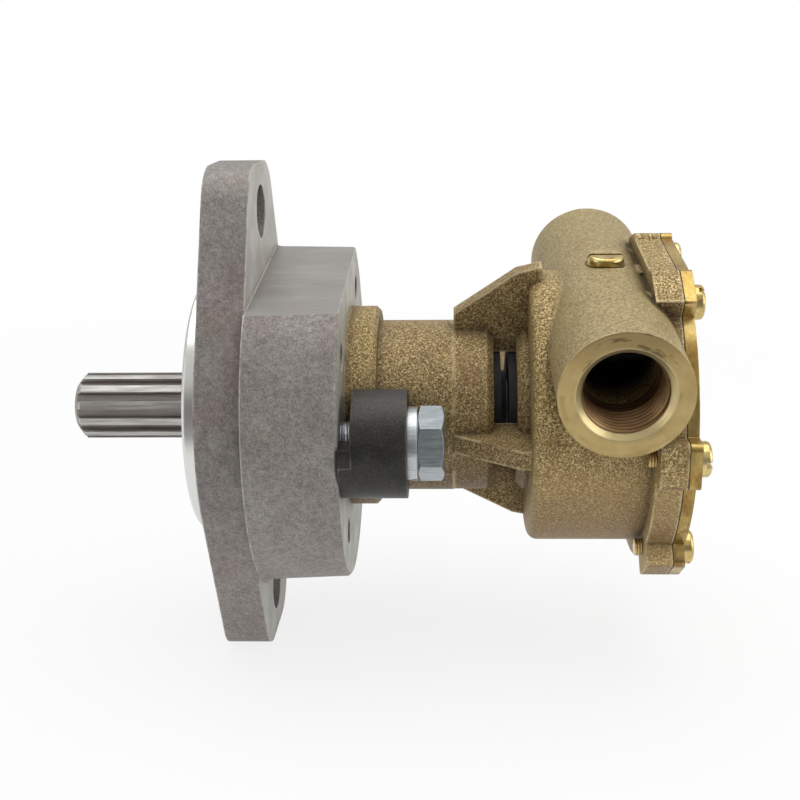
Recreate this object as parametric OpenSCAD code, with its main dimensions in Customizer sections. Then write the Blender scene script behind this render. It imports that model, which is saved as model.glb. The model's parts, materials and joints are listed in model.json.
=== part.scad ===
// Flange mounted flexible impeller pump with a splined drive shaft.
// X runs along the shaft from the engine to the end cover, Z is up along the two ears,
// and the origin is on the shaft axis in the front face of the mounting flange.

/* [Mounting adapter] */
// Thickness of the mounting flange
flange_t = 17.5; // [12:0.5:24]
// Radius of the round middle of the flange
flange_r = 64; // [60:0.5:72]
// Distance between the two ear holes
ear_pitch = 157; // [150:0.5:170]
// Diameter of each ear hole
ear_hole_d = 21; // [16:0.5:24]
// Corner radius of each ear
ear_corner_r = 20; // [16:0.5:24]
// Distance between the two corner centres of one ear
ear_corner_gap = 22; // [14:1:30]
// How far the corner centres lie inside the ear hole
ear_corner_back = 1; // [0:0.5:4]
// Diameter of the locating pilot
pilot_d = 100; // [90:0.5:108]
// Height of the pilot over the flange
pilot_h = 7.5; // [4:0.5:12]
// Diameter of the opening in the pilot
pilot_mouth_d = 46; // [40:0.5:52]
// Length of the block behind the flange
block_len = 34; // [30:0.5:40]
// Distance from the shaft axis to the flat on top of the block
block_flat_h = 54; // [50:0.5:60]
// Turn of the block's flat about the shaft, in degrees
block_turn = 8; // [0:1:15]
// Bolt circle diameter of the four tapped holes behind
rear_bolt_circle_d = 104; // [98:0.5:108]
// Diameter of each of those tapped holes
rear_bolt_hole_d = 10.2; // [8:0.1:12]
// Depth of each of those tapped holes
rear_bolt_hole_depth = 24; // [12:1:28]
// Radius of the round block where it meets the flange
block_r = 70; // [66:0.5:72]
// How much smaller the block's radius is at its rear face
block_draft = 1.4; // [0:0.1:2]
// Radius of the cast fillet between the ears and the block
ear_fillet_r = 2.5; // [2:0.5:6]
// Size of the edge chamfers on the adapter
adapter_chamfer = 1; // [0.4:0.1:2]

/* [Bearing housing] */
// Diameter of the collar that the clamps hold
collar_d = 80; // [76:0.5:84]
// Thickness of the collar
collar_t = 11.8; // [9:0.1:14]
// Diameter of the spigot that centres the collar in the adapter
nose_d = 62; // [58:0.5:66]
// Length of that spigot
nose_len = 11; // [9:0.5:16]
// Diameter of the neck
neck_d = 68.4; // [64:0.2:72]
// Length of the neck
neck_len = 29.3; // [26:0.1:34]
// Diameter of the spigot inside the pump body's hub
tail_d = 59; // [57:0.2:60]
// Length of that spigot
tail_len = 12; // [10:0.5:13]

/* [Bearings] */
// Outer diameter of both ball bearings
bearing_od = 52; // [50:0.5:53]
// Bore of both ball bearings
bearing_bore_d = 25; // [24:0.5:27]
// Width of both ball bearings
bearing_w = 15; // [13:0.5:16]
// Ball diameter
ball_d = 7.6; // [6.5:0.1:8]
// Number of balls in each bearing
ball_count = 9; // [7:1:9]
// Length of the sleeve between the bearings
spacer_len = 10; // [7:0.5:11]

/* [Drive shaft] */
// Length of the shaft in front of the flange face
spline_reach = 59.5; // [45:0.5:70]
// Outer diameter of the spline
spline_d = 26.6; // [24:0.1:28]
// Number of spline teeth
spline_teeth = 12; // [10:1:14]
// Depth of the spline grooves
spline_depth = 2.2; // [1.5:0.1:2.6]
// Diameter of the shaft at the seals
seal_shaft_d = 20; // [18:0.5:22]
// Diameter of the shaft in the impeller
impeller_shaft_d = 16; // [14:0.5:17]

/* [Pump body] */
// Turn of the pump about the shaft, in degrees
pump_turn = 10; // [0:1:15]
// Diameter of the hub on the bearing housing
hub_d = 68; // [66:0.5:72]
// Length of the hub
hub_len = 15.2; // [14:0.1:18]
// Width of the drain windows between the ribs
window_len = 9; // [7:0.5:12]
// Bore of the hub at the drain windows
window_bore_d = 50; // [46:0.5:51]
// Thickness of the four ribs
rib_t = 7.5; // [6:0.5:9]
// Outer diameter of the pump barrel
barrel_d = 108; // [104:0.5:112]
// Length of the barrel from its back wall to the cover joint
barrel_len = 53.2; // [51:0.1:58]
// Diameter of the pumping chamber
chamber_d = 84; // [78:0.5:86]
// Thickness of the back wall of the chamber
back_wall_t = 9; // [8:0.5:10]
// Rounding of the barrel's edge
barrel_round = 4; // [2:0.5:5]
// Bolt circle diameter of the cover screws
cover_circle_d = 117; // [116:0.5:126]
// Angle of the two upper cover screws from the top, in degrees
upper_screw_angle = 25; // [20:1:32]
// Angle of the two cover screws beside the ports from the top, in degrees
side_screw_angle = 84; // [76:1:92]
// Angle of the two lower cover screws from the top, in degrees
lower_screw_angle = 134; // [126:1:144]
// How far the round joint between body and cover reaches beyond the screws' axes
joint_margin = 2; // [0:0.5:4]
// Distance from a cover screw's axis to the outer face of its pad
pad_margin = 9.5; // [8:0.5:12]
// Width of each screw pad
pad_w = 17.5; // [15:0.5:20]
// Thickness of the body flange
body_flange_t = 10; // [8:0.5:12]

/* [Ports] */
// Height of the port axis over the shaft axis
port_h = 37; // [36:0.5:39]
// Distance from the shaft's plane to each port face
port_reach = 71; // [66:0.5:80]
// Outer diameter of the port tube
port_d = 47; // [46:0.5:50]
// Bore of the port thread
port_thread_d = 30.3; // [28:0.1:33]
// Depth of the port thread
port_thread_len = 20; // [16:0.5:24]
// Bore of the passage behind the thread
passage_d = 27; // [24:0.5:28]
// Distance from the middle to where each passage starts
passage_start = 23; // [21:0.5:25]

/* [Cover, cam and impeller] */
// Thickness of the end cover
cover_t = 4.2; // [3:0.1:6]
// Width of the gasket's ring, from its bore to the round joint's edge
gasket_w = 18.5; // [14:0.5:20]
// Thickness of the cover gasket
gasket_t = 0.4; // [0.4:0.1:1]
// Thickness of the wear plate
wear_plate_t = 1.6; // [1:0.1:2.5]
// Thickness of the cam plate at its middle
cam_t = 5; // [3.5:0.1:6]
// Width of the cam plate
cam_w = 38; // [34:1:40]
// Radius of the cam's rubbing face
cam_face_r = 120; // [100:5:200]
// Number of impeller blades
blade_count = 8; // [6:1:10]
// Outer diameter of the impeller's rubber hub
impeller_hub_d = 38; // [34:0.5:42]
// Outer diameter of the impeller's metal insert
insert_d = 27; // [24:0.5:30]
// Radius of the bead on each blade tip
blade_bead_r = 2.4; // [1.8:0.1:2.8]
// Thickness of a blade at its root
blade_root_t = 6; // [4.5:0.1:7]
// Thickness of a blade next to its bead
blade_tip_t = 3.4; // [2.6:0.1:4]

/* [Clamps and fasteners] */
// Diameter of each clamp disc
clamp_d = 40; // [36:0.5:42]
// Height of each clamp disc over the collar
clamp_t = 12.5; // [9:0.5:15]
// Distance from the shaft axis to each clamp bolt
clamp_bolt_r = 49.5; // [49:0.5:52]
// Turn of the clamps about the shaft, in degrees
clamp_turn = 1; // [0:1:12]
// Thread diameter of the clamp bolts
clamp_bolt_d = 16; // [14:1:16]
// Size across the flats of a clamp bolt's head
clamp_bolt_af = 24; // [21:1:27]
// Height of a clamp bolt's head
clamp_bolt_head_h = 10; // [8:0.5:12]
// Outer diameter of a clamp bolt's spring washer
washer_d = 27; // [24:0.5:30]
// Thickness of that washer
washer_t = 3.5; // [2.5:0.1:4.5]
// Thread diameter of the cover screws
cover_screw_d = 6; // [5:0.5:6]
// Head diameter of the cover screws
cover_screw_head_d = 13; // [10:0.5:14]
// Head height of the cover screws
cover_screw_head_h = 4.4; // [3.5:0.1:5]
// Thread diameter of the cam screw
cam_screw_d = 8; // [6:0.5:8]
// Head diameter of the cam screw
cam_screw_head_d = 14; // [12:0.5:15]
// Head height of the cam screw
cam_screw_head_h = 4.5; // [3.5:0.1:6]

/* [Fits] */
// Radial clearance of the shaft in its seals
shaft_gap = 0.05; // [0.03:0.01:0.1]
// Clearance of a free moving piece from its neighbours
free_gap = 0.3; // [0.2:0.05:0.4]
// Clearance of a seated piece in its seat
seat_gap = 0.05; // [0.02:0.01:0.1]

/* [Hidden] */
$fn = 72;
// How far a cut runs past the surface that it opens
overrun = 1;
// How far a straight edge starts inside the round edge that it leaves
edge_tuck = 0.05;
// Mounting adapter
block_rear_x = flange_t + block_len;
ear_end_z = ear_pitch/2 - ear_corner_back;
block_rear_r = block_r - block_draft;
adapter_ledge = 4;
adapter_cavity_d = nose_d - 2*adapter_ledge;
adapter_front_wall_t = 8;
rear_hole_angles = [45, 135, 225, 315];
nose_seat_depth = nose_len + free_gap;
// Bearing housing, from its nose back
nose_front_x = block_rear_x - nose_len;
collar_rear_x = block_rear_x + collar_t;
hub_front_x = collar_rear_x + neck_len;
tail_end_x = hub_front_x + tail_len;
collar_chamfer = 1.5;
seal_back_d = 38;
nose_seal_w = 7;
nose_seal_od = 42;
o_ring_t = 3;
o_ring_depth = 2.4;
o_ring_place_share = 0.5;
o_ring_x = nose_front_x + nose_len*o_ring_place_share;
// Bearings, from the front shoulder back
shoulder_t = 8;
front_bearing_x = nose_front_x + nose_seal_w + shoulder_t;
rear_bearing_x = front_bearing_x + bearing_w + spacer_len;
bearing_end_x = rear_bearing_x + bearing_w;
pitch_d = (bearing_od + bearing_bore_d)/2;
ball_gap = 0.2;
groove_r = ball_d/2 + ball_gap;
ring_gap = 5;
inner_ring_d = pitch_d - ring_gap;
outer_ring_d = pitch_d + ring_gap;
cage_t = 3.4;
cage_w = 9.6;
spacer_d = 32;
circlip_t = 1.75;
circlip_depth = 1.5;
circlip_h = 4;
tail_seal_x = bearing_end_x + circlip_t + seat_gap;
tail_seal_w = tail_end_x - tail_seal_x;
// Pump body, from its hub back
hub_end_x = hub_front_x + hub_len;
ring_front_x = hub_end_x + window_len;
ring_len = 4.6;
barrel_front_x = ring_front_x + ring_len;
barrel_end_x = barrel_front_x + barrel_len;
chamber_front_x = barrel_front_x + back_wall_t;
chamber_r = chamber_d/2;
ring_d = hub_d;
ring_chamfer = 3;
hub_round = 2.5;
joint_r = cover_circle_d/2 + joint_margin;
gasket_bore_d = 2*(joint_r - gasket_w);
cover_angles = [for (a = [upper_screw_angle, side_screw_angle, lower_screw_angle], side = [1, -1]) side*a];
pad_reach = cover_circle_d/2 + pad_margin;
rib_lip = 1;
rib_top_lip = 6.5;
rib_knee_share = 0.12;
rib_low_start_r = hub_d/2 + rib_lip;
rib_low_end_r = barrel_d/2 - barrel_round;
rib_top_start_r = hub_d/2 + rib_top_lip;
rib_top_end_r = port_h + port_d/2 - rib_lip;
rib_end_x = barrel_front_x + barrel_round + rib_lip;
port_inset = 0.3;
port_x = barrel_end_x - port_inset - port_d/2;
port_top_z = port_h + port_d/2;
port_chamfer = 2.2;
pad_round = 2.5;
port_step_w = 9;
port_step_drop = 3;
cam_recess_gap = 2;
cam_recess_d = cam_screw_head_d + cam_recess_gap;
cam_recess_h = 1.6;
water_seal_step = 0.6;
water_seal_w = 8;
water_seal_d = 35;
water_seal_x = ring_front_x + water_seal_step;
wall_bore_gap = 2;
wall_bore_d = seal_shaft_d + wall_bore_gap;
skirt_reach = 3;
skirt_gap = 1.2;
skirt_d = window_bore_d - skirt_gap;
skirt_bore_d = seal_shaft_d + skirt_gap;
seal_web_t = 1.5;
slinger_t = 2.2;
slinger_d = 28;
slinger_groove_w = 0.8;
slinger_x = (hub_end_x + ring_front_x)/2 - slinger_t/2;
// Steps of the drive shaft
spline_tip_len = 3;
spline_tip_d = 19.2;
spline_end_x = 6;
groove_w_share = 0.5;
groove_flare_share = 1.15;
shaft_relief_d = 21;
shaft_relief_len = 3;
shaft_chamfer = 0.8;
nose_seal_shaft_d = 28;
shaft_collar_d = 31;
shaft_clip_t = 1.2;
shaft_clip_h = 2.6;
shaft_clip_depth = 0.8;
shaft_end_gap = 2.5;
shaft_end_x = barrel_end_x - shaft_end_gap;
impeller_step_x = chamber_front_x - free_gap;
key_w = 5;
key_h = 5;
key_len = 24;
key_x = (chamber_front_x + barrel_end_x - key_len)/2;
// Cover, cam and impeller
cover_x = barrel_end_x + gasket_t;
cover_end_x = cover_x + cover_t;
wear_end_x = chamber_front_x + wear_plate_t;
cam_low_z = chamber_r - cam_t;
cam_len = barrel_end_x - wear_end_x - 2*seat_gap;
impeller_x = wear_end_x + free_gap;
impeller_len = barrel_end_x - free_gap - impeller_x;
insert_back = 3;
insert_len = impeller_len - 2*insert_back;
blade_step = 360/blade_count;
blade_bend = 14;
cam_blade_bend = 29;
blade_rows = 6;
blade_root_r = impeller_hub_d/2 - blade_root_t/2;
blade_reach = chamber_r - free_gap - blade_bead_r;
blade_cam_reach = cam_low_z - 2*free_gap - blade_bead_r;
cam_reach_angle = asin((cam_w/2 + blade_bead_r + free_gap)/blade_reach);
// Clamps and fasteners
clamp_lift = 4.5;
clamp_front_x = block_rear_x + clamp_lift;
clamp_end_x = collar_rear_x + clamp_t;
foot_line_share = 0.065;
bolt_reach = 20;
head_chamfer_share = 0.5;
washer_split_w = 1.2;
washer_split_turn = 60;
washer_split_slant = 30;
slot_w = 2.2;
slot_depth_share = 0.5;
screw_tip_reach = 3;
screw_tip_x = barrel_end_x - body_flange_t - screw_tip_reach;
head_round_share = 0.35;

// Shared forms

// A solid of revolution about the shaft axis, from points written as [radius, x]
module turned(points) {
    rotate([0, 90, 0]) rotate_extrude() polygon(points);
}

// A straight tube about the shaft axis
module tube_x(x0, len, outer_d, inner_d) {
    translate([x0, 0, 0]) rotate([0, 90, 0]) difference() {
        cylinder(d = outer_d, h = len);
        translate([0, 0, -overrun]) cylinder(d = inner_d, h = len + 2*overrun);
    }
}

module rod_x(x0, len, d) {
    translate([x0, 0, 0]) rotate([0, 90, 0]) cylinder(d = d, h = len);
}

// A flat plate square to the shaft, from a 2D outline drawn in [y, z]
module plate_x(x0, len) {
    translate([x0, 0, 0]) rotate([90, 0, 90]) linear_extrude(len) children();
}

// What belongs to the pump turns with it about the shaft
module pump_frame() {
    rotate([pump_turn, 0, 0]) children();
}

// Where a straight line leaves the round middle to touch a corner circle
function touch_angle(c, r_mid, r_corner) =
    atan2(c[1], c[0]) - acos((r_mid - r_corner)/norm(c));
function touch_dir(c, r_mid, r_corner) =
    [cos(touch_angle(c, r_mid, r_corner)), sin(touch_angle(c, r_mid, r_corner))];

// Mounting adapter

module flange_outline() {
    corner = [ear_corner_gap/2, ear_end_z];
    dir = touch_dir(corner, flange_r, ear_corner_r);
    low = (flange_r - edge_tuck)*dir;
    high = corner + ear_corner_r*dir;
    top_z = ear_end_z + ear_corner_r;
    circle(r = flange_r);
    for (up = [1, -1]) scale([1, up]) {
        for (side = [1, -1]) translate([side*corner[0], corner[1]]) circle(r = ear_corner_r);
        polygon([low, high, [corner[0], top_z], [-corner[0], top_z], [-high[0], high[1]],
            [-low[0], low[1]]]);
    }
}

// Concave fillet round the block, kept to where an ear stands behind it
module ear_fillet() {
    intersection() {
        rotate([0, 90, 0]) rotate_extrude() difference() {
            translate([block_r - overrun, flange_t - overrun])
                square([ear_fillet_r + overrun, ear_fillet_r + overrun]);
            translate([block_r + ear_fillet_r, flange_t + ear_fillet_r])
                circle(r = ear_fillet_r);
        }
        plate_x(flange_t - 2*overrun, ear_fillet_r + 4*overrun) flange_outline();
    }
}

module adapter_flange() {
    color([0.66, 0.65, 0.63]) difference() {
        union() {
            plate_x(0, flange_t) flange_outline();
            turned([[0, -pilot_h], [pilot_d/2 - adapter_chamfer, -pilot_h],
                [pilot_d/2, -pilot_h + adapter_chamfer], [pilot_d/2, overrun], [0, overrun]]);
            difference() {
                union() {
                    turned([[0, flange_t/2], [flange_r - overrun, flange_t/2],
                        [flange_r - overrun, flange_t], [block_r, flange_t],
                        [block_rear_r, block_rear_x - adapter_chamfer],
                        [block_rear_r - adapter_chamfer, block_rear_x], [0, block_rear_x]]);
                    ear_fillet();
                }
                rotate([block_turn, 0, 0]) translate([flange_t, -block_r - overrun, block_flat_h])
                    cube([block_len + overrun, 2*(block_r + overrun), block_r]);
            }
        }
        // The ear holes run on as shallow flutes in the block, which keep the bolts' way free
        for (side = [1, -1]) translate([0, 0, side*ear_pitch/2])
            rod_x(-overrun, block_rear_x + 2*overrun, ear_hole_d);
        // Seat of the bearing housing's nose, the cavity and the mouth in the pilot
        rod_x(block_rear_x - nose_seat_depth, nose_seat_depth + overrun, nose_d + 2*seat_gap);
        rod_x(adapter_front_wall_t, block_len, adapter_cavity_d);
        rod_x(-pilot_h - overrun, pilot_h + adapter_front_wall_t + 2*overrun, pilot_mouth_d);
        rotate([pump_turn, 0, 0]) for (a = rear_hole_angles)
            rotate([a, 0, 0]) translate([0, 0, rear_bolt_circle_d/2])
                rod_x(block_rear_x - rear_bolt_hole_depth, rear_bolt_hole_depth + overrun,
                    rear_bolt_hole_d);
        clamp_places() rod_x(block_rear_x - bolt_reach - overrun, bolt_reach + 2*overrun,
            clamp_bolt_d + 2*seat_gap);
    }
}

// Bearing housing and its seals

module bearing_housing() {
    color([0.60, 0.49, 0.28]) difference() {
        turned([[nose_seal_od/2, nose_front_x], [nose_d/2 - collar_chamfer, nose_front_x],
            [nose_d/2, nose_front_x + collar_chamfer], [nose_d/2, block_rear_x],
            [collar_d/2, block_rear_x], [collar_d/2, collar_rear_x - collar_chamfer],
            [collar_d/2 - collar_chamfer, collar_rear_x], [neck_d/2, collar_rear_x],
            [neck_d/2, hub_front_x], [tail_d/2, hub_front_x], [tail_d/2, tail_end_x],
            [bearing_od/2, tail_end_x], [bearing_od/2, front_bearing_x],
            [seal_back_d/2, front_bearing_x], [seal_back_d/2, nose_front_x + nose_seal_w],
            [nose_seal_od/2, nose_front_x + nose_seal_w]]);
        tube_x(o_ring_x, o_ring_t, nose_d + 2*overrun, nose_d - 2*o_ring_depth);
        rod_x(bearing_end_x, circlip_t, bearing_od + 2*circlip_depth);
    }
}

module nose_o_ring() {
    color([0.08, 0.08, 0.08])
        tube_x(o_ring_x, o_ring_t, nose_d, nose_d - 2*o_ring_depth);
}

// A shaft seal: a cased rubber ring whose lip runs on the shaft
module lip_seal(x0, w, outer_d, shaft_d) {
    lip_r = shaft_d/2 + shaft_gap;
    web_t = w/4;
    case_t = (outer_d - shaft_d)/10;
    turned([[lip_r, x0], [outer_d/2, x0], [outer_d/2, x0 + w], [outer_d/2 - case_t, x0 + w],
        [outer_d/2 - case_t, x0 + web_t], [lip_r + 2*case_t, x0 + web_t],
        [lip_r + case_t, x0 + w - web_t], [lip_r, x0 + w/2]]);
}

module nose_oil_seal() {
    color([0.12, 0.11, 0.11]) lip_seal(nose_front_x, nose_seal_w, nose_seal_od, nose_seal_shaft_d);
}

// Both seals at the drain windows have a rubber skirt that stands in the windows
module tail_oil_seal() {
    color([0.12, 0.11, 0.11]) {
        lip_seal(tail_seal_x, tail_seal_w, bearing_od, seal_shaft_d);
        tube_x(tail_end_x - seal_web_t, hub_end_x + skirt_reach - tail_end_x + seal_web_t,
            skirt_d, skirt_bore_d);
    }
}

module water_seal() {
    color([0.12, 0.11, 0.11]) {
        lip_seal(water_seal_x, water_seal_w, water_seal_d, seal_shaft_d);
        tube_x(ring_front_x - skirt_reach, skirt_reach - seat_gap, skirt_d, skirt_bore_d);
        tube_x(ring_front_x - skirt_reach, skirt_reach + water_seal_step + seal_web_t,
            water_seal_d - circlip_depth - 2*seat_gap, skirt_bore_d);
    }
}

// Ball bearings

module race(x0, outer_d, inner_d) {
    difference() {
        tube_x(x0, bearing_w, outer_d, inner_d);
        ball_track(x0);
    }
}

module ball_track(x0) {
    translate([x0 + bearing_w/2, 0, 0]) rotate([0, 90, 0]) rotate_extrude()
        translate([pitch_d/2, 0]) circle(r = groove_r);
}

module balls(x0) {
    for (i = [0:ball_count - 1]) rotate([i*360/ball_count, 0, 0])
        translate([x0 + bearing_w/2, 0, pitch_d/2]) sphere(d = ball_d);
}

module cage(x0) {
    difference() {
        tube_x(x0 + (bearing_w - cage_w)/2, cage_w, pitch_d + cage_t, pitch_d - cage_t);
        for (i = [0:ball_count - 1]) rotate([i*360/ball_count, 0, 0])
            translate([x0 + bearing_w/2, 0, pitch_d/2 - cage_t])
                cylinder(r = groove_r, h = 2*cage_t);
    }
}

module front_outer_race() { color([0.75, 0.76, 0.78]) race(front_bearing_x, bearing_od, outer_ring_d); }
module front_inner_race() { color([0.75, 0.76, 0.78]) race(front_bearing_x, inner_ring_d, bearing_bore_d); }
module front_balls() { color([0.85, 0.86, 0.88]) balls(front_bearing_x); }
module front_cage() { color([0.72, 0.58, 0.30]) cage(front_bearing_x); }
module rear_outer_race() { color([0.75, 0.76, 0.78]) race(rear_bearing_x, bearing_od, outer_ring_d); }
module rear_inner_race() { color([0.75, 0.76, 0.78]) race(rear_bearing_x, inner_ring_d, bearing_bore_d); }
module rear_balls() { color([0.85, 0.86, 0.88]) balls(rear_bearing_x); }
module rear_cage() { color([0.72, 0.58, 0.30]) cage(rear_bearing_x); }

module bearing_spacer() {
    color([0.62, 0.63, 0.65])
        tube_x(front_bearing_x + bearing_w, spacer_len, spacer_d, bearing_bore_d);
}

// A spring ring with a gap that lets it open or close into its groove
module circlip(x0, t, outer_d, inner_d) {
    difference() {
        tube_x(x0, t, outer_d, inner_d);
        translate([x0 - overrun, -circlip_h, 0]) cube([t + 2*overrun, 2*circlip_h, outer_d]);
    }
}

module housing_circlip() {
    color([0.30, 0.30, 0.31]) circlip(bearing_end_x, circlip_t,
        bearing_od + 2*circlip_depth, bearing_od - 2*circlip_h);
}

module shaft_circlip() {
    color([0.30, 0.30, 0.31]) circlip(bearing_end_x, shaft_clip_t,
        bearing_bore_d + 2*shaft_clip_h, bearing_bore_d - 2*shaft_clip_depth);
}

// Drive shaft

module drive_shaft() {
    color([0.62, 0.62, 0.62]) difference() {
        turned([[0, -spline_reach], [spline_tip_d/2, -spline_reach],
            [spline_d/2, -spline_reach + spline_tip_len], [spline_d/2, spline_end_x],
            [shaft_relief_d/2, spline_end_x], [shaft_relief_d/2, spline_end_x + shaft_relief_len],
            [nose_seal_shaft_d/2, spline_end_x + shaft_relief_len + shaft_chamfer],
            [nose_seal_shaft_d/2, front_bearing_x - shoulder_t],
            [shaft_collar_d/2, front_bearing_x - shoulder_t], [shaft_collar_d/2, front_bearing_x],
            [bearing_bore_d/2, front_bearing_x], [bearing_bore_d/2, bearing_end_x],
            [bearing_bore_d/2 - shaft_clip_depth, bearing_end_x],
            [bearing_bore_d/2 - shaft_clip_depth, bearing_end_x + shaft_clip_t],
            [bearing_bore_d/2, bearing_end_x + shaft_clip_t],
            [bearing_bore_d/2, bearing_end_x + circlip_t],
            [seal_shaft_d/2, bearing_end_x + circlip_t],
            [seal_shaft_d/2, impeller_step_x], [impeller_shaft_d/2, impeller_step_x],
            [impeller_shaft_d/2, shaft_end_x - shaft_chamfer],
            [impeller_shaft_d/2 - shaft_chamfer, shaft_end_x], [0, shaft_end_x]]);
        for (i = [0:spline_teeth - 1]) rotate([i*360/spline_teeth, 0, 0]) spline_groove();
        translate([key_x, -key_w/2, impeller_shaft_d/2 - key_h/2])
            cube([key_len, key_w, key_h]);
    }
}

// One groove with flanks that lean out, cut from the tip back to the relief
module spline_groove() {
    root_r = spline_d/2 - spline_depth;
    root_w = PI*root_r/spline_teeth*groove_w_share*2;
    top_r = spline_d/2 + overrun;
    top_w = PI*top_r/spline_teeth*groove_w_share*2*groove_flare_share;
    plate_x(-spline_reach - overrun, spline_reach + spline_end_x + 2*overrun)
        polygon([[-root_w/2, root_r], [root_w/2, root_r], [top_w/2, top_r], [-top_w/2, top_r]]);
}

module slinger_ring() {
    color([0.07, 0.07, 0.07]) difference() {
        tube_x(slinger_x, slinger_t, slinger_d, seal_shaft_d);
        tube_x(slinger_x + (slinger_t - slinger_groove_w)/2, slinger_groove_w,
            slinger_d + 2*overrun, slinger_d - 2*slinger_groove_w);
    }
}

// Pump body

// Places of the cover screws
module cover_places() {
    pump_frame() for (a = cover_angles)
        rotate([a, 0, 0]) translate([0, 0, cover_circle_d/2]) children();
}

// Outline shared by the body flange, the gasket and the cover: a disc with a pad at each
// screw, and a straight edge across the top between the two highest pads
module cover_outline() {
    half = upper_screw_angle;
    corner = [pad_w/2, pad_reach];
    right = [corner[0]*cos(half) + corner[1]*sin(half), corner[1]*cos(half) - corner[0]*sin(half)];
    left = [corner[1]*sin(half) - corner[0]*cos(half), corner[1]*cos(half) + corner[0]*sin(half)];
    circle(r = joint_r);
    for (a = cover_angles) rotate(a) pad_outline();
    polygon([[0, 0], right, [left[0], left[1] - pad_round], [-left[0], left[1] - pad_round],
        [-right[0], right[1]]]);
}

module pad_outline() {
    for (side = [1, -1]) translate([side*(pad_w/2 - pad_round), pad_reach - pad_round])
        circle(r = pad_round);
    translate([-pad_w/2, 0]) square([pad_w, pad_reach - pad_round]);
    translate([pad_round - pad_w/2, 0]) square([pad_w - 2*pad_round, pad_reach]);
}

module one_rib(a, start_r, end_r) {
    rotate([a, 0, 0]) translate([0, rib_t/2, 0]) rotate([90, 0, 0]) linear_extrude(rib_t)
        polygon([[hub_front_x, 0], [rib_end_x, 0], [rib_end_x, end_r],
            [hub_end_x + window_len, end_r - (end_r - start_r)*rib_knee_share],
            [hub_front_x, start_r]]);
}

module pump_body() {
    color([0.58, 0.47, 0.27]) pump_frame() difference() {
        union() {
            turned([[0, hub_front_x], [hub_d/2, hub_front_x], [hub_d/2, hub_end_x - hub_round],
                [hub_d/2 - hub_round, hub_end_x], [0, hub_end_x]]);
            turned([[0, ring_front_x], [ring_d/2 - ring_chamfer, ring_front_x],
                [ring_d/2, ring_front_x + ring_chamfer], [ring_d/2, barrel_front_x + overrun],
                [0, barrel_front_x + overrun]]);
            rotate([0, 90, 0]) rotate_extrude() barrel_profile();
            plate_x(barrel_end_x - body_flange_t, body_flange_t) cover_outline();
            for (a = [90, 180, 270]) one_rib(a, rib_low_start_r, rib_low_end_r);
            one_rib(0, rib_top_start_r, rib_top_end_r);
            translate([port_x, 0, port_h]) rotate([90, 0, 0])
                cylinder(d = port_d, h = 2*port_reach, center = true);
            translate([port_x, -port_step_w/2, port_h])
                cube([barrel_end_x - body_flange_t - port_x + overrun, port_step_w,
                    port_d/2 - port_step_drop]);
        }
        rod_x(hub_front_x - overrun, tail_end_x + free_gap - hub_front_x + overrun,
            tail_d + 2*seat_gap);
        rod_x(hub_front_x, ring_front_x - hub_front_x, window_bore_d);
        rod_x(water_seal_x, water_seal_w, water_seal_d);
        rod_x(ring_front_x - overrun, water_seal_step + 2*overrun, water_seal_d - circlip_depth);
        rod_x(ring_front_x, back_wall_t + ring_len + overrun, wall_bore_d);
        rod_x(chamber_front_x, barrel_len, chamber_d);
        for (side = [1, -1]) translate([port_x, 0, port_h]) rotate([side*90, 0, 0]) port_cut();
        translate([port_x, 0, 0]) cylinder(d = cam_screw_d + 4*seat_gap, h = port_h + port_d);
        translate([port_x, 0, port_top_z - cam_recess_h])
            cylinder(d = cam_recess_d, h = port_d);
        rotate([-pump_turn, 0, 0]) cover_places()
            rod_x(screw_tip_x - seat_gap, barrel_end_x - screw_tip_x + overrun,
                cover_screw_d + 2*seat_gap);
    }
}

// Half section of the barrel, drawn as [radius, x], with a round outer edge
module barrel_profile() {
    r = barrel_d/2;
    difference() {
        translate([0, barrel_front_x]) square([r, barrel_len]);
        difference() {
            translate([r - barrel_round, barrel_front_x - overrun])
                square([barrel_round + overrun, barrel_round + overrun]);
            translate([r - barrel_round, barrel_front_x + barrel_round]) circle(r = barrel_round);
        }
    }
}

// Thread bore, mouth chamfer and passage of one port, cut along +Z from the port's middle
module port_cut() {
    translate([0, 0, passage_start]) cylinder(d = passage_d, h = port_reach);
    translate([0, 0, port_reach - port_thread_len])
        cylinder(d = port_thread_d, h = port_thread_len + overrun);
    translate([0, 0, port_reach - port_chamfer])
        cylinder(d1 = port_thread_d, d2 = port_thread_d + 2*port_chamfer, h = port_chamfer);
    translate([0, 0, port_reach - seat_gap])
        cylinder(d = port_thread_d + 2*port_chamfer, h = overrun);
}

// Wear plate, cam and impeller

module wear_plate() {
    color([0.74, 0.60, 0.30])
        tube_x(chamber_front_x, wear_plate_t, chamber_d - 2*seat_gap, wall_bore_d);
}

module cam_plate() {
    color([0.74, 0.60, 0.30]) pump_frame() difference() {
        intersection() {
            rod_x(wear_end_x + seat_gap, cam_len, chamber_d - 2*seat_gap);
            translate([wear_end_x, -cam_w/2, 0]) cube([barrel_len, cam_w, chamber_r]);
        }
        translate([0, 0, cam_low_z - cam_face_r]) rod_x(wear_end_x, barrel_len, 2*cam_face_r);
        translate([port_x, 0, cam_low_z - overrun])
            cylinder(d = cam_screw_d + 2*seat_gap, h = cam_t + 2*overrun);
    }
}

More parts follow.
